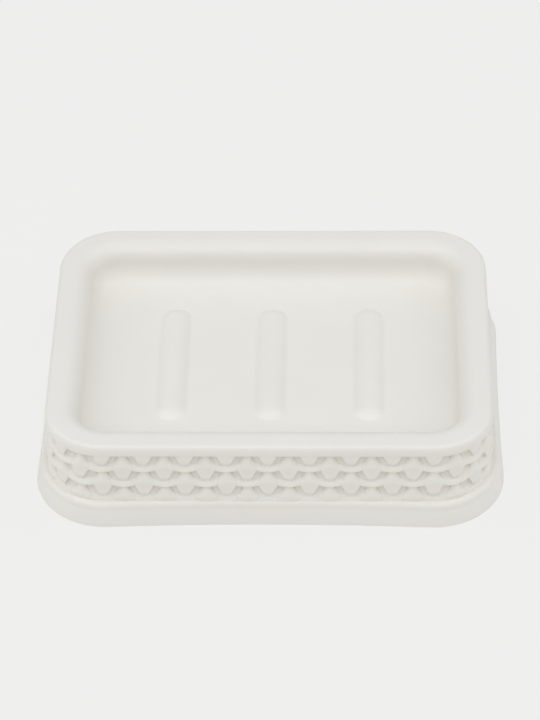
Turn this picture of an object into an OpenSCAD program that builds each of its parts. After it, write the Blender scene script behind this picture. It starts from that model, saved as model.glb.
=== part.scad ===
// Soap dish: one thin moulded shell with a rimmed tray, three soap ribs, a woven skirt and a flared
// plinth, standing on four soft feet that plug into bosses under the tray.
// Millimetres, +Z up. The origin is the middle of the footprint, on the surface the feet stand on.

/* [Rim] */
// Outer length of the rim, left to right
rim_l = 122.4; // [112:0.2:150]
// Outer width of the rim, front to back
rim_w = 91.6; // [80:0.2:120]
// Outer corner radius of the rim, seen from above
corner_r = 16.3; // [16:0.1:24]
// Height of the top of the rim above the surface the dish stands on
dish_h = 27; // [25:0.5:36]
// Radius of the rim's outer top edge
edge_r = 1.3; // [1:0.1:2.8]
// Width of the flat land on top of the rim
rim_land = 3.3; // [3.2:0.1:5]
// Height of the rim's outer face, from its lower edge to the top
rim_h = 3.3; // [2.9:0.1:4.5]

/* [Tray] */
// Depth of the tray floor below the top of the rim
tray_depth = 11.4; // [9.5:0.1:13]
// Radius where the rim's land turns down into the tray
lip_r = 4.8; // [2.4:0.1:4.8]
// Radius where the tray wall meets the floor
floor_r = 7; // [3:0.1:7]
// Draft of the tray wall, in degrees
tray_draft = 6; // [1:0.5:12]
// Wall thickness of the whole shell
wall_t = 2.2; // [1.8:0.1:2.4]

/* [Soap ribs] */
// Number of soap ribs on the floor
rib_count = 3; // [1:1:5]
// Distance between the middles of two ribs
rib_pitch = 27.5; // [14:0.1:30]
// Length of a rib over its round ends
rib_l = 46; // [20:0.5:56]
// Width of a rib where it meets the floor
rib_w = 8.3; // [5:0.1:12]
// Height of a rib above the floor
rib_h = 1.6; // [0.8:0.1:2.4]

/* [Woven skirt] */
// Distance between two knots of one row, which each side rounds to a whole number of knots
knot_pitch = 11.3; // [9:0.1:16]
// Distance between two rows of knots
row_pitch = 5.35; // [4.6:0.05:5.8]
// Width of a knot
knot_w = 5.8; // [4:0.1:7]
// Height of a whole knot
knot_h = 7.4; // [6:0.1:8.6]
// Width of a knot's flat top and tip
tip_w = 1.8; // [1:0.1:3]
// How far a knot stands out of the skirt
knot_out = 1.3; // [0.8:0.1:1.4]
// How far a strand between two knots stands out of the skirt
strand_out = 0.9; // [0.5:0.1:0.9]
// Height of a strand
strand_h = 2.1; // [1.2:0.1:2.8]
// How far a strand sags between two knots
strand_sag = 0.9; // [0.3:0.1:1.4]
// Inset of the skirt's ground behind the rim's outer face, at its top
skirt_in_top = 1.5; // [1.4:0.1:2]
// Inset of the skirt's ground behind the rim's outer face, at the plinth
skirt_in_low = 0.7; // [0.2:0.1:1.2]

/* [Plinth] */
// How far the plinth's foot stands out past the rim on every side
flare = 3.6; // [2.6:0.1:6]
// Height of the top of the plinth above the surface the dish stands on
plinth_h = 7.5; // [6.5:0.1:8.2]
// Radius of the plinth's upper lip
plinth_lip_r = 1.5; // [0.4:0.1:1.7]
// Inset of the plinth's upper lip behind its foot
plinth_in = 1.5; // [1:0.1:2.4]
// Radius of the hollow below the plinth's upper lip
plinth_cove_r = 4; // [3:0.1:8]
// Height of the upright edge at the plinth's foot
foot_edge = 0.6; // [0.3:0.1:1.5]
// How far the long sides of the plinth are drawn in at their middle
long_bow = 1; // [0.2:0.1:1.4]
// How far the short sides of the plinth are drawn in at their middle
short_bow = 0.4; // [0.2:0.1:1]

/* [Feet] */
// Gap between the plinth and the surface the feet stand on
foot_gap = 0.4; // [0.2:0.1:1]
// Diameter of a foot's pad
pad_d = 10; // [7:0.5:12]
// Thickness of a foot's pad
pad_t = 2; // [1.2:0.1:4]
// Chamfer round the lower edge of a pad
pad_chamfer = 0.4; // [0.1:0.1:0.8]
// Diameter of a foot's plug
plug_d = 3.6; // [2.5:0.1:4.5]
// Length of a foot's plug above its pad
plug_l = 5; // [3:0.1:6]
// Clearance round the plug and above it
plug_fit = 0.05; // [0.02:0.01:0.2]
// Diameter of a boss under the tray
boss_d = 8; // [6.5:0.1:10]
// Distance of a boss's middle inside the rim's outer face
boss_in = 18; // [16.5:0.5:24]

/* [Hidden] */
$fn = 96;

shell_colour = [0.93, 0.92, 0.89];
foot_colour = [0.78, 0.78, 0.76];

// Straight steps along a quarter circle of a section
arc_steps = 6;
// Straight steps along a strand's sag
sag_steps = 4;
// Facets that a whole turn of a drawn-in side's arc would have
bow_facets = 1440;
// How far a piece of the shell runs into the wall that carries it, as a share of the wall
root_share = 0.4;
root = root_share * wall_t;

base_l = rim_l + 2 * flare;
base_w = rim_w + 2 * flare;
base_r = corner_r + flare;
floor_z = dish_h - tray_depth;
rim_low = dish_h - rim_h;
land_end = edge_r + rim_land;

// The tray's two radii together fit its depth, and end just inside the middle of the corner's arc
curve_share = 0.998;
draft_rise = (1 - sin(tray_draft)) / cos(tray_draft);
corner_room = (curve_share * corner_r - land_end - tray_depth * tan(tray_draft)) / draft_rise;
curve_room = min(curve_share * tray_depth / (1 - sin(tray_draft)), corner_room);
fillet_r = min(floor_r, curve_room - lip_r);
tray_fall = tray_depth - (lip_r + fillet_r) * (1 - sin(tray_draft));
floor_start = land_end + (lip_r + fillet_r) * cos(tray_draft) + tray_fall * tan(tray_draft);
skirt_end = plinth_h - wall_t + root;

// The middle of the first row of knots lies a share of a row above the rim's lower edge
first_row_share = 0.19;
// A knot's sides stand upright over a share of its height above and below the middle
shoulder_share = 0.125;
first_row_z = rim_low + first_row_share * row_pitch;
row_count = 1 + floor((first_row_z - plinth_h) / row_pitch);

function skirt_inset(z) = skirt_in_top + (skirt_in_low - skirt_in_top) * (rim_low - z) / (rim_low - plinth_h);
function row_z(row) = first_row_z - row * row_pitch;
function arc(x, z, r, from, to, first = 0, last = arc_steps) = [
    for (i = [first:last])
        let (a = from + (to - from) * i / arc_steps)
        [x + r * cos(a), z + r * sin(a)]
];
// A section is drawn as insets from the outline, and turned into radii about the corner's middle
function radii(points, r) = [for (p = points) [r - p[0], p[1]]];
function side_length(q) = q % 2 == 0 ? rim_l : rim_w;
function side_knots(q) = max(1, round((side_length(q) - 2 * corner_r) / knot_pitch));
function side_step(q) = (side_length(q) - 2 * corner_r) / side_knots(q);
corner_arc = corner_r * PI / 2;
corner_knots = max(1, round(corner_arc / knot_pitch));
widest_step = max(side_step(0), side_step(1), corner_arc / corner_knots);

// Section of the rim, the tray wall and the skirt, as insets behind the rim's outer face. The floor
// runs on to the middle of the corner's arc.
upper_section = concat(
    [[0, rim_low]],
    arc(edge_r, dish_h - edge_r, edge_r, 180, 90),
    arc(land_end, dish_h - lip_r, lip_r, 90, tray_draft),
    arc(floor_start, floor_z + fillet_r, fillet_r, 180 + tray_draft, 270, last = arc_steps - 1),
    [[floor_start, floor_z], [corner_r, floor_z]],
    [[corner_r, floor_z - wall_t], [floor_start, floor_z - wall_t]],
    arc(floor_start, floor_z + fillet_r, fillet_r + wall_t, 270, 180 + tray_draft, first = 1),
    arc(land_end, dish_h - lip_r, lip_r - wall_t, tray_draft, 90),
    [[skirt_inset(dish_h) + wall_t, dish_h - wall_t],
     [skirt_inset(skirt_end) + wall_t, skirt_end],
     [skirt_inset(skirt_end), skirt_end],
     [skirt_inset(rim_low), rim_low]]
);

// The plinth's face leans out to the foot, below a hollow curve that is upright under the lip
plinth_foot_z = foot_gap + foot_edge;
cove_h = plinth_h - plinth_lip_r - plinth_foot_z;
cove_run = min(2 * plinth_cove_r - plinth_in, cove_h * cove_h / plinth_in);
cove_r = (cove_run + plinth_in) / 2;
cove_angle = 2 * atan((cove_h - sqrt(max(0, cove_h * cove_h - plinth_in * cove_run))) / cove_run);
plinth_section = concat(
    [[wall_t, foot_gap], [0, foot_gap], [0, plinth_foot_z]],
    arc(plinth_in - cove_r, plinth_foot_z + cove_h, cove_r, -cove_angle, 0),
    arc(plinth_in + plinth_lip_r, plinth_h - plinth_lip_r, plinth_lip_r, 180, 90),
    [[flare + skirt_inset(plinth_h) + wall_t / 2, plinth_h],
     [flare + skirt_inset(plinth_h) + wall_t / 2, plinth_h - wall_t]]
);

// Sweeps a section along an outline of straight sides and round corners
module sweep_straight(l, w, r, section) {
    for (q = [0:3])
        let (across = q % 2 == 0 ? l : w, deep = q % 2 == 0 ? w : l)
        rotate([0, 0, 90 * q]) translate([0, r - deep / 2, 0]) {
            rotate([90, 0, -90]) linear_extrude(across - 2 * r, center = true) polygon(radii(section, r));
            translate([across / 2 - r, 0, 0]) rotate([0, 0, -90]) rotate_extrude(angle = 90)
                polygon(radii(section, r));
        }
}

// A drawn-in side is a shallow arc with its centre outside the dish, tangent to both corners' arcs.
// half is the distance from the side's middle to a corner's middle.
function bow_reach(half, bow) = (half * half + bow * bow) / (2 * bow);
function bow_turn(half, bow) = atan(half / (bow_reach(half, bow) - bow));

// Sweeps a section along an outline whose sides are drawn in as shallow arcs
module sweep_bowed(l, w, r, section) {
    for (q = [0:3])
        let (across = q % 2 == 0 ? l : w, deep = q % 2 == 0 ? w : l,
             bow = q % 2 == 0 ? long_bow : short_bow, next_bow = q % 2 == 0 ? short_bow : long_bow,
             cx = across / 2 - r, cy = deep / 2 - r,
             reach = bow_reach(cx, bow), turn = bow_turn(cx, bow), next_turn = bow_turn(cy, next_bow))
        rotate([0, 0, 90 * q]) {
            translate([0, bow - cy - reach, 0]) rotate([0, 0, 90 - turn])
                rotate_extrude(angle = 2 * turn, $fn = bow_facets)
                    polygon([for (p = section) [reach - r + p[0], p[1]]]);
            translate([cx, -cy, 0]) rotate([0, 0, -90 - turn])
                rotate_extrude(angle = 90 + turn + next_turn) polygon(radii(section, r));
        }
}

// The middle of the floor, which overlaps the swept section all round
module tray_floor() {
    edge = (corner_r + floor_start) / 2;
    x = rim_l / 2 - edge;
    rotate([90, 0, 0]) linear_extrude(rim_w - 2 * edge, center = true)
        polygon([[-x, floor_z - wall_t], [x, floor_z - wall_t], [x, floor_z], [-x, floor_z]]);
}

// A rib's crown is an arc that is rib_w wide at the floor and runs on into it
module soap_rib() {
    crown_r = (rib_w * rib_w / 4 + rib_h * rib_h) / (2 * rib_h);
    half = concat(arc(0, rib_h - crown_r, crown_r, 90, asin(1 - (rib_h + root) / crown_r)), [[0, -root]]);
    body_l = rib_l - rib_w;
    translate([0, body_l / 2, 0]) rotate([90, 0, 0]) linear_extrude(body_l)
        polygon(concat(half, [for (i = [len(half) - 1:-1:1]) [-half[i][0], half[i][1]]]));
    for (end = [0, 180])
        rotate([0, 0, end]) translate([0, body_l / 2, 0]) rotate_extrude(angle = 180) polygon(half);
}

// Moves its children to the boss on the side x (-1 left, 1 right) and y (-1 front, 1 rear)
module at_boss(x, y) {
    translate([x * (rim_l / 2 - boss_in), y * (rim_w / 2 - boss_in), 0]) children();
}

module boss() {
    difference() {
        translate([0, 0, pad_t]) cylinder(h = floor_z - root - pad_t, d = boss_d);
        translate([0, 0, pad_t - root]) cylinder(h = root + plug_l + plug_fit, d = plug_d + 2 * plug_fit);
    }
}

// Repeats its children round the skirt, one for each knot of a row, moved on by a share of a step.
// The children look along -Y from a line that the corner's arc has its middle on.
module at_knots(shift) {
    for (q = [0:3]) {
        cx = side_length(q) / 2 - corner_r;
        cy = side_length(q + 1) / 2 - corner_r;
        rotate([0, 0, 90 * q]) {
            for (i = [0:side_knots(q) - 1])
                translate([(i + shift) * side_step(q) - cx, -cy, 0]) children();
            for (i = [0:corner_knots - 1])
                translate([cx, -cy, 0]) rotate([0, 0, (i + shift) * 90 / corner_knots]) children();
        }
    }
}

// Raises an outline out of the skirt at the height z
module raised(z, out) {
    translate([0, skirt_inset(z) + root - corner_r, z])
        rotate([90, 0, 0]) linear_extrude(root + out) children();
}

// A knot is a blunt diamond. Where the rim or the plinth covers a half of it, that half is a stub
// that runs the given distance into them.
module knot_outline(upper_stub, lower_stub) {
    shoulder = shoulder_share * knot_h;
    upper = upper_stub > knot_h / 2 ? [[knot_w / 2, shoulder], [tip_w / 2, knot_h / 2]]
                                    : [[knot_w / 2, max(0, upper_stub)]];
    lower = lower_stub > knot_h / 2 ? [[tip_w / 2, -knot_h / 2], [knot_w / 2, -shoulder]]
                                    : [[knot_w / 2, -max(0, lower_stub)]];
    right = concat(lower, upper);
    polygon(concat(right, [for (i = [len(right) - 1:-1:0]) [-right[i][0], right[i][1]]]));
}

module strand_outline(length) {
    function sag(u) = -strand_sag * (1 - u * u);
    polygon(concat(
        [for (i = [-sag_steps:2:sag_steps]) [length / 2 * i / sag_steps, sag(i / sag_steps) - strand_h / 2]],
        [for (i = [sag_steps:-2:-sag_steps]) [length / 2 * i / sag_steps, sag(i / sag_steps) + strand_h / 2]]
    ));
}

module weave() {
    for (row = [0:row_count - 1])
        at_knots(row % 2 / 2)
            raised(row_z(row), knot_out)
                knot_outline(rim_low + root - row_z(row), row_z(row) + root - plinth_h);
    for (row = [1:row_count - 1])
        at_knots((row + 1) % 2 / 2)
            raised(row_z(row), strand_out) strand_outline(widest_step - knot_w + root);
}

module dish_shell() {
    color(shell_colour) {
        sweep_straight(rim_l, rim_w, corner_r, upper_section);
        sweep_bowed(base_l, base_w, base_r, plinth_section);
        tray_floor();
        for (i = [0:rib_count - 1])
            translate([(i - (rib_count - 1) / 2) * rib_pitch, 0, floor_z]) soap_rib();
        weave();
        for (x = [-1, 1], y = [-1, 1]) at_boss(x, y) boss();
    }
}

// A foot is a soft pad with a plug that fills the boss's bore
module foot(x, y) {
    color(foot_colour) at_boss(x, y) {
        cylinder(h = pad_chamfer, d1 = pad_d - 2 * pad_chamfer, d2 = pad_d);
        translate([0, 0, pad_chamfer]) cylinder(h = pad_t - pad_chamfer, d = pad_d);
        translate([0, 0, pad_t]) cylinder(h = plug_l, d = plug_d);
    }
}

module foot_front_left() { foot(-1, -1); }
module foot_front_right() { foot(1, -1); }
module foot_rear_left() { foot(-1, 1); }
module foot_rear_right() { foot(1, 1); }

dish_shell();
foot_front_left();
foot_front_right();
foot_rear_left();
foot_rear_right();
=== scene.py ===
"""The soap dish's looks: a satin, warm white shell with a woven skirt, on its four soft feet."""

import math

import bpy
import numpy as np
from mathutils import Matrix, Vector


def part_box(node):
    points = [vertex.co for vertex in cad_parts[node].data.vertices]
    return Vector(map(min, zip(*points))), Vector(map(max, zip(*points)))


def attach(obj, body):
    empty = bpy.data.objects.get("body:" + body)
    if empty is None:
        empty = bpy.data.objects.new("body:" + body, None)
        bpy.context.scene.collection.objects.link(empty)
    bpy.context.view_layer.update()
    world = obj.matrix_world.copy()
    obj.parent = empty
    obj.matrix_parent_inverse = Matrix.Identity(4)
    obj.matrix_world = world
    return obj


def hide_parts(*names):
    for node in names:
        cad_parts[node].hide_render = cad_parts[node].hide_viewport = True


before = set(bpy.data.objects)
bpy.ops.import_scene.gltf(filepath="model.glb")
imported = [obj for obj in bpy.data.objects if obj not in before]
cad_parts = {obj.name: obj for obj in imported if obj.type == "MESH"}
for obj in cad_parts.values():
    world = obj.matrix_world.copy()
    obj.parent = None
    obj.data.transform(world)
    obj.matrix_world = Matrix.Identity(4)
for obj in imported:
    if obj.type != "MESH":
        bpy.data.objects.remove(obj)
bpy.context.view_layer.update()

# Sizes are in millimetres and angles in degrees, as in the part's source; MM turns them into metres.
MM = 0.001

# The shell's main sizes come from its solid
shell_low, shell_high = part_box("dish_shell")
FLARE = 3.6
RIM_L = (shell_high[0] - shell_low[0]) / MM - 2 * FLARE
RIM_W = (shell_high[1] - shell_low[1]) / MM - 2 * FLARE
DISH_H = shell_high[2] / MM
FOOT_GAP = shell_low[2] / MM

# Rim
CORNER_R = 16.3
EDGE_R = 1.3
RIM_IN = 0.33
RIM_IN_POWER = 4
RIM_LEAN = 28
RIM_LAND = 3.15
RIM_H = 3.3
RIM_FOOT_R = 0.25
LAND_MARGIN = 0.3
# The mould's parting line near the top of the rim's face: its steps, as insets and heights
PARTING = [(-0.01, -0.06), (0.03, 0), (0.02, 0.06)]

# Tray
TRAY_DEPTH = 11.4
LIP_R = 4.8
FLOOR_R = 6.8
TRAY_DRAFT = 6.0
FLOOR_CORNER_R = 3.0
FLOOR_MARGIN = 0.4
WALL_T = 2.2
# The flat middle of the floor, which carries the ribs
FLAT_L = 72.0
FLAT_W = 52.0

# Soap ribs
RIB_COUNT = 3
RIB_PITCH = 27.5
RIB_L = 46.0
RIB_W = 8.3
RIB_H = 1.6
RIB_BLEND = 0.14
# Share of its crown radius beyond which a rib's section falls no further
RIB_REACH = 0.93
# The floor's mesh is fine this far out from a rib's sides, and this far out and in from its ends
RIB_MARGIN = 1.2
RIB_END_OUT = 1
RIB_END_IN = 5

# Skirt
KNOT_PITCH = 11.3
ROW_PITCH = 5.35
SKIRT_IN_TOP = 1.5
SKIRT_IN_LOW = 0.7
SKIRT_OVERLAP = 0.9
GROUND_IN = 0.7
# The first row's knots lie this share of a row's pitch above the rim's lower edge
FIRST_ROW_UP = 0.19
# The ground behind a strand: heights from the strand's middle, and insets from the skirt's slope
GROUND_STEPS = [(-1.5, GROUND_IN), (0, -0.5), (0.9, -0.15)]

# Knots: half widths by height from a knot's middle, from the blunt point to the top
KNOT_SIDE = [
    (-3.75, 1.3), (-0.3, 3.1), (0.2, 3.15), (0.8, 2.85),
    (1.5, 2.15), (2.4, 1.5), (3.5, 1.2), (4.4, 1.1),
]
KNOT_TOP = 4.4
KNOT_LOW = 3.75
KNOT_SINK = 0.5
LAST_KNOT_HALF = 3.0
# The ridge down a knot's middle: how far it stands out at its crown, and how it falls above and below
KNOT_OUT = 1.3
CROWN_V = -0.5
CROWN_FALL = 0.66
CROWN_FALL_POWER = 1.7
TIP_FALL = 0.2
TIP_RUN = 2.5
TIP_EDGE = 0.8
# A knot is crisp across its lower part and soft across its upper part: where each begins, and over
# what height it comes in
CRISP_ROUND = 0.22
ROUND_V = -3
ROUND_RUN = 2
SOFT_POWER = 0.75
SOFT_V = -0.3
SOFT_RUN = 1.6
# A soft swelling just above a knot's crown
BUMP_OUT = 0.16
BUMP_V = 0.5
BUMP_HALF_W = 1.2
BUMP_HALF_H = 0.9
# The top row's half knots lie this far behind the rim's face at one height, and lean back below it
FLUSH_IN = 0.03
FLUSH_V = -1
FLUSH_LEAN = 0.04

# Tails: half widths by height from a knot's middle, from the tip upwards
TAIL_SIDE = [(-5.15, 0.4), (-5.05, 0.62), (-4.85, 0.8), (-4.6, 0.95), (-4.3, 1.05), (-3.4, 1.15)]
TAIL_UP = 0.3
TAIL_BEND = -4.0
TAIL_OUT = 0.85
TAIL_FALL = 0.32

# Strands: how far they stand out, lie back and droop in front, and how high and low they reach
STRAND_OUT = 1.5
STRAND_IN = 0.25
STRAND_SKEW = 0.8
STRAND_TOP = 1.35
STRAND_LOW = 1.1
LAST_STRAND_LOW = 3.2
STRAND_DIP = 0.9
STRAND_SAG = 0.35
STRAND_END_FALL = 0.3
# A strand begins and ends this far from the middles of the knots beside it
STRAND_START = 2.1
# A strand's section is a little fuller than an ellipse
STRAND_POWER = 2 / 2.1

# The edges of every raised form lie this far inside the skirt's slope
BURIED = 0.4

# Plinth
PLINTH_H = 7.5
PLINTH_LIP_R = 1.5
PLINTH_FOOT_R = 0.15
COVE_R = 4.0
PLINTH_IN = 1.5
FOOT_EDGE = 0.6
LONG_BOW = 1.0
SHORT_BOW = 0.4

# Bosses and the feet's plugs
PAD_T = 2.0
PLUG_L = 5.0
PLUG_GAP = 0.05
BORE_D = 3.7
BOSS_D = 8.0
BOSS_IN = 18.0
BOSS_CHAMFER = 0.2
BOSS_FILLET = 0.8
# The fillet's turn, in radians
BOSS_FILLET_TURN = (0.3, 1.57)

# Fineness of the meshes
CORNER_STEPS = 24
BOW_STEPS = 48
BOSS_STEPS = 40
RIM_FACE_STEPS = 12
KNOT_ROWS = 25
STRAND_ROWS = 15
STRAND_COLUMNS = 19
FINE_STEP = 0.4
LONG_STEP = 2.0
CROSS_STEP = 2.5
SHARP_ANGLE = 38

# Worked out from the sizes above
FLOOR_Z = DISH_H - TRAY_DEPTH
RIM_LOW = DISH_H - RIM_H
LAND_END = EDGE_R + RIM_LAND
DRAFT = math.radians(TRAY_DRAFT)
TRAY_FALL = TRAY_DEPTH - (LIP_R + FLOOR_R) * (1 - math.sin(DRAFT))
FLOOR_START = LAND_END + (LIP_R + FLOOR_R) * math.cos(DRAFT) + TRAY_FALL * math.tan(DRAFT)
RIB_MIDDLES = [(i - (RIB_COUNT - 1) / 2) * RIB_PITCH for i in range(RIB_COUNT)]
FIRST_ROW_Z = RIM_LOW + FIRST_ROW_UP * ROW_PITCH
ROW_COUNT = 1 + int((FIRST_ROW_Z - PLINTH_H) // ROW_PITCH)
CORNER_L = CORNER_R * math.pi / 2
CORNER_KNOTS = max(1, round(CORNER_L / KNOT_PITCH))

# Colours and finishes
SHELL_COLOUR = (0.842, 0.812, 0.738)
SHELL_ROUGHNESS = 0.4
SHELL_GRAIN = 0.4
FEET_COLOUR = (0.56, 0.56, 0.54)
FEET_ROUGHNESS = 0.7
FEET_GRAIN = 0.8
MOTTLE_DARK = 0.985
MOTTLE_FROM = 0.3
MOTTLE_TO = 0.7
GLOSS_SPREAD = 0.04
GRAIN_DEPTH = 0.02
# Scale and detail of each noise
MOTTLE_NOISE = (55, 4)
GLOSS_NOISE = (400, 3)
GRAIN_NOISE = (1800, 2)

# Camera: a long lens, aimed by its tilt, turn and roll. FOCAL_PX and PHOTO_H are in pixels.
PHOTO_H = 720
SENSOR = 36
FOCAL_PX = 2962.3
DISTANCE = 845.3
TILT = 42.45
TURN = -2.051
ROLL = -1.375
AIM = (-0.62, 12.36)
# In metres
CLIP_START = 0.05
CLIP_END = 20

# Paper floor and lights. The paper lies a little below the feet.
PAPER_DROP = 0.02
PAPER_COLOUR = (0.105, 0.1, 0.093)
PAPER_GLOW = 0.764
DAYLIGHT = (0.963, 0.988, 1.037)
WORLD_STRENGTH = 0.437
# In metres
PAPER_REACH = 3.0
SOFT_BOX = 1.2


# Outlines, seen from above

def side_length(q):
    """Straight length of the rim's side q, counted from the front and turning left to right."""
    return (RIM_L if q % 2 == 0 else RIM_W) - 2 * CORNER_R


def side_depth(q):
    """Distance of the rim's side q from the middle."""
    return (RIM_W if q % 2 == 0 else RIM_L) / 2


def turned(q, x, y):
    """Turns points of the front side to side q."""
    c, s = ((1, 0), (0, 1), (-1, 0), (0, -1))[q % 4]
    return c * x - s * y, s * x + c * y


SIDE_START = [sum(side_length(k) + CORNER_L for k in range(q)) for q in range(4)]
LOOP_L = SIDE_START[3] + side_length(3) + CORNER_L


def skin(s, out):
    """Points at the path length s along the rim's outer face, and out in front of it."""
    s, out = np.broadcast_arrays(np.mod(s, LOOP_L), out)
    side = sum((s >= SIDE_START[k]).astype(int) for k in (1, 2, 3))
    length = np.choose(side % 2, [side_length(0), side_length(1)])
    depth = np.choose(side % 2, [side_depth(0), side_depth(1)])
    along = s - np.choose(side, SIDE_START)
    angle = np.clip((along - length) / CORNER_R, 0, math.pi / 2)
    radius = CORNER_R + out
    x = np.minimum(along, length) - length / 2 + radius * np.sin(angle)
    y = CORNER_R - depth - radius * np.cos(angle)
    c = np.choose(side, [1, 0, -1, 0])
    d = np.choose(side, [0, 1, 0, -1])
    return c * x - d * y, d * x + c * y


def skirt_inset(z):
    """How far the skirt's slope lies behind the rim's outer face."""
    fall = (RIM_LOW - z) / (RIM_LOW - PLINTH_H)
    return SKIRT_IN_TOP + (SKIRT_IN_LOW - SKIRT_IN_TOP) * fall


def wall_ring(inset, radius, across):
    """Points round a rounded rectangle inside the rim. across gives both sides' shares of their length."""
    half_l = RIM_L / 2 - inset - radius
    half_w = RIM_W / 2 - inset - radius
    angle = np.linspace(0, math.pi / 2, CORNER_STEPS, endpoint=False)
    xs = []
    ys = []
    for q in range(4):
        reach, depth = (half_l, half_w) if q % 2 == 0 else (half_w, half_l)
        share = across[q % 2]
        share = share[:-1] if q < 2 else -share[:0:-1]
        x = np.concatenate([share * reach, reach + radius * np.sin(angle)])
        y = np.concatenate([0 * share - depth - radius, -depth - radius * np.cos(angle)])
        x, y = turned(q, x, y)
        xs.append(x)
        ys.append(y)
    return np.concatenate(xs), np.concatenate(ys)


def flat_ring(across):
    """The edge of the flat middle of the floor, with as many points as a ring of the wall."""
    xs = []
    ys = []
    for q in range(4):
        reach, depth = (FLAT_L / 2, FLAT_W / 2) if q % 2 == 0 else (FLAT_W / 2, FLAT_L / 2)
        share = across[q % 2]
        share = share[:-1] if q < 2 else -share[:0:-1]
        x = np.concatenate([share * reach, np.full(CORNER_STEPS, reach)])
        x, y = turned(q, x, np.full(x.shape, -depth))
        xs.append(x)
        ys.append(y)
    return np.concatenate(xs), np.concatenate(ys)


def bowed_ring(inset):
    """Points round the plinth, whose sides are drawn in as shallow arcs tangent to its corners."""
    radius = CORNER_R + FLARE
    xs = []
    ys = []
    for q in range(4):
        bow, next_bow = (LONG_BOW, SHORT_BOW) if q % 2 == 0 else (SHORT_BOW, LONG_BOW)
        cx = side_length(q) / 2
        cy = side_length(q + 1) / 2
        reach = (cx * cx + bow * bow) / (2 * bow)
        turn = math.atan2(cx, reach - bow)
        next_reach = (cy * cy + next_bow * next_bow) / (2 * next_bow)
        next_turn = math.atan2(cy, next_reach - next_bow)
        a = np.linspace(-turn, turn, BOW_STEPS, endpoint=False)
        r = reach - radius + inset
        x, y = turned(q, r * np.sin(a), bow - cy - reach + r * np.cos(a))
        xs.append(x)
        ys.append(y)
        a = np.linspace(-turn, math.pi / 2 + next_turn, CORNER_STEPS, endpoint=False)
        r = radius - inset
        x, y = turned(q, cx + r * np.sin(a), -cy - r * np.cos(a))
        xs.append(x)
        ys.append(y)
    return np.concatenate(xs), np.concatenate(ys)


# Sections, as insets behind the rim's or the plinth's outer face and heights

def arc(x, z, r, start, end, steps=10):
    """Points of a section along an arc."""
    angles = np.radians(np.linspace(start, end, steps + 1))
    return [(x + r * math.cos(a), z + r * math.sin(a)) for a in angles]


def rim_face():
    """The rim's outer face, which leans in towards its top edge, with a faint parting line below that."""
    high = DISH_H - EDGE_R + EDGE_R * math.sin(math.radians(RIM_LEAN))
    low = RIM_LOW + RIM_FOOT_R
    shares = np.linspace(0, 1, RIM_FACE_STEPS + 1)[1:-1]
    points = [(RIM_IN * t ** RIM_IN_POWER, low + (high - low) * t) for t in shares]
    x, z = points[-1]
    return points[:-1] + [(x + inset, z + up) for inset, up in PARTING]


def ground_steps():
    """The skirt's ground behind the weave, which leans back from each strand to the one above."""
    points = []
    for row in range(ROW_COUNT - 1, 0, -1):
        z = FIRST_ROW_Z - row * ROW_PITCH
        points += [(skirt_inset(z + v) + inset, z + v) for v, inset in GROUND_STEPS]
    return points


def shell_section():
    """Section of the shell above the plinth: from the floor's underside, round the rim, to the floor."""
    floor_low = FLOOR_Z - WALL_T
    skirt_end = PLINTH_H - WALL_T + SKIRT_OVERLAP
    land_start = RIM_IN + EDGE_R * math.cos(math.radians(RIM_LEAN))
    return (
        [(FLOOR_START + FLOOR_MARGIN, floor_low)]
        + arc(FLOOR_START, FLOOR_Z + FLOOR_R, FLOOR_R + WALL_T, 270, 180 + TRAY_DRAFT)
        + arc(LAND_END, DISH_H - LIP_R, LIP_R - WALL_T, TRAY_DRAFT, 90, 3)
        + [(skirt_inset(DISH_H) + WALL_T, DISH_H - WALL_T)]
        + [(skirt_inset(skirt_end) + WALL_T, skirt_end)]
        + [(skirt_inset(skirt_end), skirt_end)]
        + ground_steps()
        + [(skirt_inset(RIM_LOW) + GROUND_IN, RIM_LOW)]
        + arc(RIM_FOOT_R, RIM_LOW + RIM_FOOT_R, RIM_FOOT_R, 270, 180, 4)
        + rim_face()
        + arc(land_start, DISH_H - EDGE_R, EDGE_R, 180 - RIM_LEAN, 90, 12)
        + [(land_start + LAND_MARGIN, DISH_H), (LAND_END - LAND_MARGIN, DISH_H)]
        + arc(LAND_END, DISH_H - LIP_R, LIP_R, 90, TRAY_DRAFT, 12)
        + arc(FLOOR_START, FLOOR_Z + FLOOR_R, FLOOR_R, 180 + TRAY_DRAFT, 270, 16)
        + [(FLOOR_START + FLOOR_MARGIN, FLOOR_Z)]
    )


def plinth_section():
    """Section of the plinth: a hollow face between the upright foot and the rounded lip."""
    foot_z = FOOT_GAP + FOOT_EDGE
    cove_h = PLINTH_H - PLINTH_LIP_R - foot_z
    wide = 2 * COVE_R - PLINTH_IN
    lean = 2 * math.atan((cove_h - math.sqrt(cove_h * cove_h - PLINTH_IN * wide)) / wide)
    inner = FLARE + skirt_inset(PLINTH_H) + WALL_T / 2
    return (
        [(inner, PLINTH_H - WALL_T), (WALL_T, FOOT_GAP)]
        + arc(PLINTH_FOOT_R, FOOT_GAP + PLINTH_FOOT_R, PLINTH_FOOT_R, 270, 180, 3)
        + [(0, foot_z)]
        + arc(PLINTH_IN - COVE_R, foot_z + cove_h, COVE_R, -math.degrees(lean), 0, 8)
        + arc(PLINTH_IN + PLINTH_LIP_R, PLINTH_H - PLINTH_LIP_R, PLINTH_LIP_R, 180, 90, 8)
        + [(inner, PLINTH_H)]
    )


# Meshes

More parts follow.
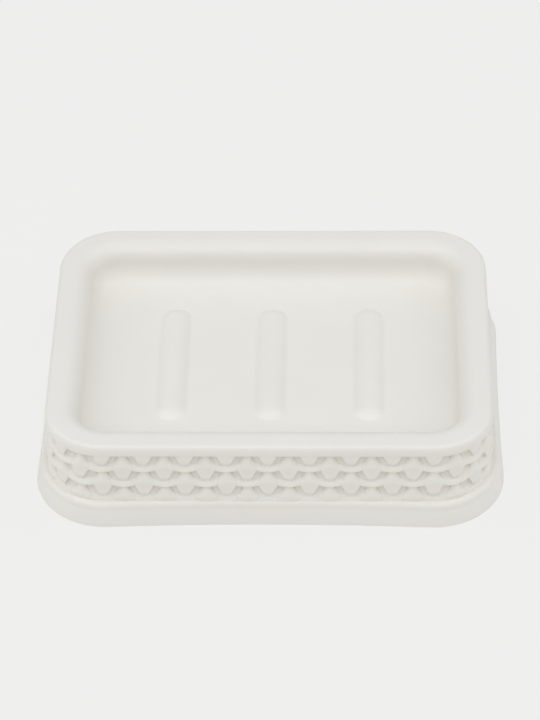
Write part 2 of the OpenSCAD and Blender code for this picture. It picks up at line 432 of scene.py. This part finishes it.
class Builder:
    """Collects points and faces in millimetres."""

    def __init__(self):
        self.points = []
        self.faces = []
        self.count = 0

    def add(self, points, faces):
        points = np.asarray(points, float).reshape(-1, 3)
        self.points.append(points)
        self.faces.extend([[i + self.count for i in face] for face in faces])
        self.count += len(points)

    def grid(self, points, closed=False):
        """A sheet of quads over rows of points; closed joins each row's last point to its first."""
        rows, columns = points.shape[:2]
        faces = []
        for r in range(rows - 1):
            near = r * columns
            far = near + columns
            for c in range(columns if closed else columns - 1):
                d = (c + 1) % columns
                faces.append([near + c, near + d, far + d, far + c])
        self.add(points, faces)

    def build(self, name):
        """A smooth object of all that was added, with its sharp edges marked."""
        mesh = bpy.data.meshes.new(name)
        mesh.from_pydata((np.concatenate(self.points) * MM).tolist(), [], self.faces)
        mesh.update()
        mesh.polygons.foreach_set("use_smooth", [True] * len(mesh.polygons))
        mesh.set_sharp_from_angle(angle=math.radians(SHARP_ANGLE))
        piece = bpy.data.objects.new(name, mesh)
        bpy.context.scene.collection.objects.link(piece)
        return piece


def level(x, y, z):
    """Points at x and y, all at the height z."""
    return np.stack([x, y, np.full(x.shape, z)], axis=-1)


def spaced(low, high, zones, coarse):
    """Places from low to high, fine inside the zones and coarse between them."""
    places = [low]
    while places[-1] < high - FINE_STEP / 2:
        here = places[-1]
        step = FINE_STEP if any(a - coarse / 2 <= here <= b for a, b in zones) else coarse
        nearest = [a for a, b in zones if a > here + FINE_STEP / 2]
        stop = min(nearest + [high])
        places.append(min(here + step, stop) if stop > here else here + step)
    places[-1] = high
    return np.array(places)


def rib_height(x, y):
    """Height of the soap ribs above the tray's floor, with a small fillet at their foot."""
    crown_r = (RIB_W * RIB_W / 4 + RIB_H * RIB_H) / (2 * RIB_H)
    total = np.zeros(np.broadcast(x, y).shape)
    for middle in RIB_MIDDLES:
        dx = x - middle
        dy = np.maximum(0, np.abs(y) - (RIB_L - RIB_W) / 2)
        d = np.minimum(np.hypot(dx, dy), RIB_REACH * crown_r)
        h = RIB_H - crown_r + np.sqrt(crown_r * crown_r - d * d)
        total = np.maximum(total, (h + np.sqrt(h * h + RIB_BLEND * RIB_BLEND)) / 2)
    return total


def add_body(shell):
    """The swept wall and the floor with its ribs, above and below."""
    side = RIB_W / 2 + RIB_MARGIN
    end = RIB_L / 2
    rib_zones = [(middle - side, middle + side) for middle in RIB_MIDDLES]
    end_zones = [(-end - RIB_END_OUT, RIB_END_IN - end), (end - RIB_END_IN, end + RIB_END_OUT)]
    xs = spaced(-FLAT_L / 2, FLAT_L / 2, rib_zones, LONG_STEP)
    ys = spaced(-FLAT_W / 2, FLAT_W / 2, end_zones, CROSS_STEP)
    across = (xs / xs[-1], ys / ys[-1])
    x, y = flat_ring(across)
    rings = [level(x, y, FLOOR_Z - WALL_T)]
    for inset, z in shell_section():
        spare = CORNER_R - inset
        if inset > LAND_END:
            spare = (spare + math.hypot(spare, 2 * FLOOR_CORNER_R)) / 2
        rings.append(level(*wall_ring(inset, spare, across), z))
    rings.append(level(x, y, FLOOR_Z))
    shell.grid(np.array(rings), closed=True)
    gx, gy = np.meshgrid(xs, ys)
    top = np.stack([gx, gy, FLOOR_Z + rib_height(gx, gy)], axis=-1)
    shell.grid(top)
    under = level(gx, gy, FLOOR_Z - WALL_T)
    shell.grid(under[:, ::-1])


def add_plinth(shell):
    """The flared plinth under the skirt."""
    rings = [level(*bowed_ring(inset), z) for inset, z in plinth_section()]
    shell.grid(np.array(rings), closed=True)


def add_boss(shell, x, y):
    """A tube under the tray that holds a foot's plug, with a fillet where it leaves the floor."""
    top = FLOOR_Z - WALL_T
    r = BOSS_D / 2
    bore = BORE_D / 2
    bore_top = PAD_T + PLUG_L + PLUG_GAP
    chamfer_z = PAD_T + BOSS_CHAMFER
    profile = [(0, bore_top), (bore, bore_top), (bore, chamfer_z), (bore + BOSS_CHAMFER, PAD_T)]
    profile += [(r - BOSS_CHAMFER, PAD_T), (r, chamfer_z), (r, top - BOSS_FILLET)]
    for a in np.linspace(*BOSS_FILLET_TURN, 5):
        profile.append((r + BOSS_FILLET * (1 - math.cos(a)), top - BOSS_FILLET * (1 - math.sin(a))))
    a = np.linspace(0, 2 * math.pi, BOSS_STEPS, endpoint=False)
    rings = [level(x + p * np.cos(a), y + p * np.sin(a), z) for p, z in profile]
    shell.grid(np.array(rings), closed=True)


# Weave: knots in four rows, the strands between them and the tails that dip under the strands.
# In a raised form, u runs along the skirt, v upwards from the row's height, and rise outwards.

def eased(t):
    """Runs smoothly from 0 to 1."""
    t = np.clip(t, 0, 1)
    return t * t * (3 - 2 * t)


def add_patch(shell, s, z, u, v, rise):
    """A raised form on the skirt: a sheet whose four edges are buried, closed by a face inside the wall."""
    rise[0] = -BURIED
    rise[-1] = -BURIED
    rise[:, 0] = -BURIED
    rise[:, -1] = -BURIED
    height = z + v
    x, y = skin(s + u, rise - skirt_inset(height))
    rows, columns = height.shape
    first = shell.count
    shell.grid(np.stack([x, y, height], axis=-1))
    edge = [first + c for c in range(columns)]
    edge += [first + r * columns + columns - 1 for r in range(1, rows)]
    edge += [first + (rows - 1) * columns + c for c in range(columns - 2, -1, -1)]
    edge += [first + r * columns for r in range(rows - 2, 0, -1)]
    shell.faces.append(edge[::-1])


def add_knot(shell, s, z, flush, last):
    """A knot: a soft slope that comes from under the strand above, a crown, and a crisp blunt point."""
    top = min(KNOT_TOP, RIM_LOW + RIM_FOOT_R - z)
    low = max(-KNOT_LOW, PLINTH_H - KNOT_SINK - z)
    v = np.concatenate([[top], np.linspace(top, low, KNOT_ROWS), [low, low]])[:, None]
    half = np.interp(v, *np.transpose(KNOT_SIDE))
    if last:
        half = np.where(v < 0, LAST_KNOT_HALF, half)
    # Places across, as shares of the half width, and the share of the crisp rise at each
    share = np.array([-1, -1, -0.97, -0.93, -0.86, -0.74, -0.58, -0.4, -0.2, 0])
    share = np.concatenate([share, -share[-2::-1]])[None, :]
    edge = np.array([0, 0.78, 0.93, 0.98, 1, 1, 1, 1, 1, 1])
    edge = np.concatenate([edge, edge[-2::-1]])[None, :]
    u = half * share
    above = np.clip((v - CROWN_V) / (KNOT_TOP - CROWN_V), 0, 1)
    below = eased((CROWN_V - v) / TIP_RUN)
    ridge = KNOT_OUT * (1 - CROWN_FALL * above ** CROWN_FALL_POWER) - TIP_FALL * below
    if flush:
        ridge = skirt_inset(z + v) - FLUSH_IN - FLUSH_LEAN * (FLUSH_V - v)
    crisp = ridge * (1 - CRISP_ROUND * share * share * eased((v - ROUND_V) / ROUND_RUN)) * edge
    soft = ridge * np.cos(share * math.pi / 2) ** SOFT_POWER
    rise = crisp + (soft - crisp) * eased((v - SOFT_V) / SOFT_RUN)
    if not flush:
        rise = rise + BUMP_OUT * np.exp(-(u / BUMP_HALF_W) ** 2 - ((v - BUMP_V) / BUMP_HALF_H) ** 2)
    rise[-2] = rise[-2] * TIP_EDGE
    add_patch(shell, s, z, u, v + 0 * u, rise)


def add_tail(shell, s, z):
    """The end of a knot's upright strand, which bends back under the strand below."""
    start = TAIL_UP - KNOT_LOW
    downward = [height for height, half in TAIL_SIDE[-2::-1]]
    v = np.array([start, start, TAIL_BEND] + downward + downward[-1:])[:, None]
    half = np.interp(v, *np.transpose(TAIL_SIDE))
    # Places across, as shares of the half width, and the share of the rise at each
    share = np.array([-1, -1, -0.9, -0.5, 0, 0.5, 0.9, 1, 1])[None, :]
    edge = np.array([0, 0.85, 1, 1, 1, 1, 1, 0.85, 0])[None, :]
    u = half * share
    ends = [TAIL_SIDE[0][0], TAIL_SIDE[-1][0]]
    rise = np.interp(v, ends, [TAIL_OUT - TAIL_FALL, TAIL_OUT]) * edge
    add_patch(shell, s, z, u, v + 0 * u, rise)


def add_strand(shell, start, end, z, lowest):
    """A strand between two knots. It sags, and its top edge dips where the tail above presses on it."""
    t = np.concatenate([[-1], np.linspace(-1, 1, STRAND_COLUMNS), [1]])[None, :]
    dip = np.cos(t * math.pi / 2) ** 2
    high = STRAND_TOP - STRAND_DIP * dip
    low = -lowest - STRAND_SAG * dip
    angle = np.radians(np.linspace(-90, 90, STRAND_ROWS))[:, None]
    front = np.maximum(0, np.cos(angle))
    lift = np.sign(np.sin(angle)) * np.abs(np.sin(angle)) ** STRAND_POWER
    v = (high + low) / 2 + (high - low) / 2 * lift - STRAND_SKEW * front
    rise = STRAND_OUT * front ** STRAND_POWER * (1 - STRAND_END_FALL * t ** 6) - STRAND_IN
    v = np.concatenate([v[:1], v, v[-1:]])
    rise = np.concatenate([rise[:1], rise, rise[-1:]])
    add_patch(shell, (start + end) / 2, z, (end - start) / 2 * t + 0 * v, v, rise)


def row_places(row):
    """Path lengths of a row's knots round the skirt. Every other row is moved on by half a step."""
    shift = row % 2 / 2
    places = []
    for q in range(4):
        knots = max(1, round(side_length(q) / KNOT_PITCH))
        step = side_length(q) / knots
        places += [SIDE_START[q] + (i + shift) * step for i in range(knots)]
        start = SIDE_START[q] + side_length(q)
        places += [start + (i + shift) * CORNER_L / CORNER_KNOTS for i in range(CORNER_KNOTS)]
    return places


def add_weave(shell):
    """All rows of the weave. The top row's half knots have no strands, and the last row has no tails."""
    for row in range(ROW_COUNT):
        z = FIRST_ROW_Z - row * ROW_PITCH
        last = row == ROW_COUNT - 1
        lowest = LAST_STRAND_LOW if last else STRAND_LOW
        places = row_places(row)
        for s in places:
            add_knot(shell, s, z, row == 0, last)
            if not last:
                add_tail(shell, s, z)
        if row > 0:
            for a, b in zip(places, places[1:] + [places[0] + LOOP_L]):
                add_strand(shell, a + STRAND_START, b - STRAND_START, z, lowest)


# Materials

def add_noise(material, place, scale, detail):
    """A noise in the object's own coordinates."""
    noise = material.node_tree.nodes.new("ShaderNodeTexNoise")
    noise.inputs["Scale"].default_value = scale
    noise.inputs["Detail"].default_value = detail
    material.node_tree.links.new(place.outputs["Object"], noise.inputs["Vector"])
    return noise


def node_material(name, colour, roughness, grain):
    """Moulded plastic or rubber: a faint mottle in the colour, and a fine grain in gloss and relief."""
    material = bpy.data.materials.new(name)
    material.use_nodes = True
    nodes = material.node_tree.nodes
    links = material.node_tree.links
    shader = nodes["Principled BSDF"]
    place = nodes.new("ShaderNodeTexCoord")

    mottle = add_noise(material, place, *MOTTLE_NOISE)
    ramp = nodes.new("ShaderNodeValToRGB")
    ramp.color_ramp.elements[0].position = MOTTLE_FROM
    ramp.color_ramp.elements[0].color = [c * MOTTLE_DARK for c in colour] + [1]
    ramp.color_ramp.elements[1].position = MOTTLE_TO
    ramp.color_ramp.elements[1].color = list(colour) + [1]
    links.new(mottle.outputs["Fac"], ramp.inputs["Fac"])
    links.new(ramp.outputs["Color"], shader.inputs["Base Color"])

    sheen = add_noise(material, place, *GLOSS_NOISE)
    gloss = nodes.new("ShaderNodeMapRange")
    gloss.inputs["To Min"].default_value = roughness - GLOSS_SPREAD
    gloss.inputs["To Max"].default_value = roughness + GLOSS_SPREAD
    links.new(sheen.outputs["Fac"], gloss.inputs["Value"])
    links.new(gloss.outputs["Result"], shader.inputs["Roughness"])

    relief = add_noise(material, place, *GRAIN_NOISE)
    bump = nodes.new("ShaderNodeBump")
    bump.inputs["Strength"].default_value = grain
    bump.inputs["Distance"].default_value = GRAIN_DEPTH * MM
    links.new(relief.outputs["Fac"], bump.inputs["Height"])
    links.new(bump.outputs["Normal"], shader.inputs["Normal"])
    return material


# Pieces

def add_shell():
    """The whole shell as one piece, in place of its plainer solid."""
    shell = Builder()
    add_body(shell)
    add_plinth(shell)
    for x in (-1, 1):
        for y in (-1, 1):
            add_boss(shell, x * (RIM_L / 2 - BOSS_IN), y * (RIM_W / 2 - BOSS_IN))
    add_weave(shell)
    piece = shell.build("woven_shell")
    plastic = node_material("shell_plastic", SHELL_COLOUR, SHELL_ROUGHNESS, SHELL_GRAIN)
    piece.data.materials.append(plastic)
    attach(piece, "root")
    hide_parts("dish_shell")


def dress_feet():
    """Gives the four feet their rubber; their solids stay as they are."""
    rubber = node_material("feet_rubber", FEET_COLOUR, FEET_ROUGHNESS, FEET_GRAIN)
    for name in ("foot_front_left", "foot_front_right", "foot_rear_left", "foot_rear_right"):
        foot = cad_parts[name]
        if not foot.data.materials:
            foot.data.materials.append(rubber)
        for slot in foot.material_slots:
            slot.material = rubber


# Camera, floor and lights

def add_camera():
    """A long lens in front of the dish, a little to its right, that looks down at it."""
    tilt = math.radians(TILT)
    turn = math.radians(TURN)
    roll = math.radians(ROLL)
    forward = Vector((math.sin(turn) * math.cos(tilt), math.cos(turn) * math.cos(tilt), -math.sin(tilt)))
    flat = Vector((math.cos(turn), -math.sin(turn), 0))
    upright = flat.cross(forward)
    right = math.cos(roll) * flat + math.sin(roll) * upright
    up = math.cos(roll) * upright - math.sin(roll) * flat
    place = (right * AIM[0] + up * AIM[1] - forward * DISTANCE + Vector((0, 0, FOOT_GAP))) * MM
    data = bpy.data.cameras.new("camera")
    data.sensor_width = SENSOR
    data.lens = FOCAL_PX / PHOTO_H * SENSOR
    data.clip_start = CLIP_START
    data.clip_end = CLIP_END
    camera = bpy.data.objects.new("camera", data)
    turned_to = Matrix((right, up, -forward)).transposed().to_4x4()
    camera.matrix_world = Matrix.Translation(place) @ turned_to
    bpy.context.scene.collection.objects.link(camera)
    bpy.context.scene.camera = camera


def add_light(name, place, power):
    """A square soft box that faces the dish, at a place in metres."""
    data = bpy.data.lights.new(name, "AREA")
    data.shape = "SQUARE"
    data.size = SOFT_BOX
    data.energy = power
    data.color = DAYLIGHT
    light = bpy.data.objects.new(name, data)
    light.location = place
    light.rotation_euler = (-Vector(place)).to_track_quat("-Z", "Y").to_euler()
    bpy.context.scene.collection.objects.link(light)


def add_floor():
    """Pale, evenly lit paper just under the feet."""
    mesh = bpy.data.meshes.new("floor")
    low = -PAPER_DROP * MM
    corners = [(PAPER_REACH * x, PAPER_REACH * y, low) for x, y in ((-1, -1), (1, -1), (1, 1), (-1, 1))]
    mesh.from_pydata(corners, [], [[0, 1, 2, 3]])
    floor = bpy.data.objects.new("floor", mesh)
    bpy.context.scene.collection.objects.link(floor)
    material = bpy.data.materials.new("floor_paper")
    material.use_nodes = True
    shader = material.node_tree.nodes["Principled BSDF"]
    shader.inputs["Base Color"].default_value = PAPER_COLOUR + (1,)
    shader.inputs["Roughness"].default_value = 1
    shader.inputs["Specular IOR Level"].default_value = 0
    shader.inputs["Emission Color"].default_value = (1, 1, 1, 1)
    shader.inputs["Emission Strength"].default_value = PAPER_GLOW
    mesh.materials.append(material)


def add_world():
    """Even light from all round."""
    world = bpy.data.worlds.new("studio")
    world.use_nodes = True
    background = world.node_tree.nodes["Background"]
    background.inputs["Color"].default_value = DAYLIGHT + (1,)
    background.inputs["Strength"].default_value = WORLD_STRENGTH
    bpy.context.scene.world = world


add_camera()
add_floor()
add_world()
add_light("key", (-0.11, -0.7, 1.12), 5.8)
add_light("left", (-0.9, 0, 0.9), 4.4)
add_light("right", (0.9, 0, 0.9), 4.7)
bpy.context.scene.view_settings.view_transform = "Standard"

add_shell()
dress_feet()
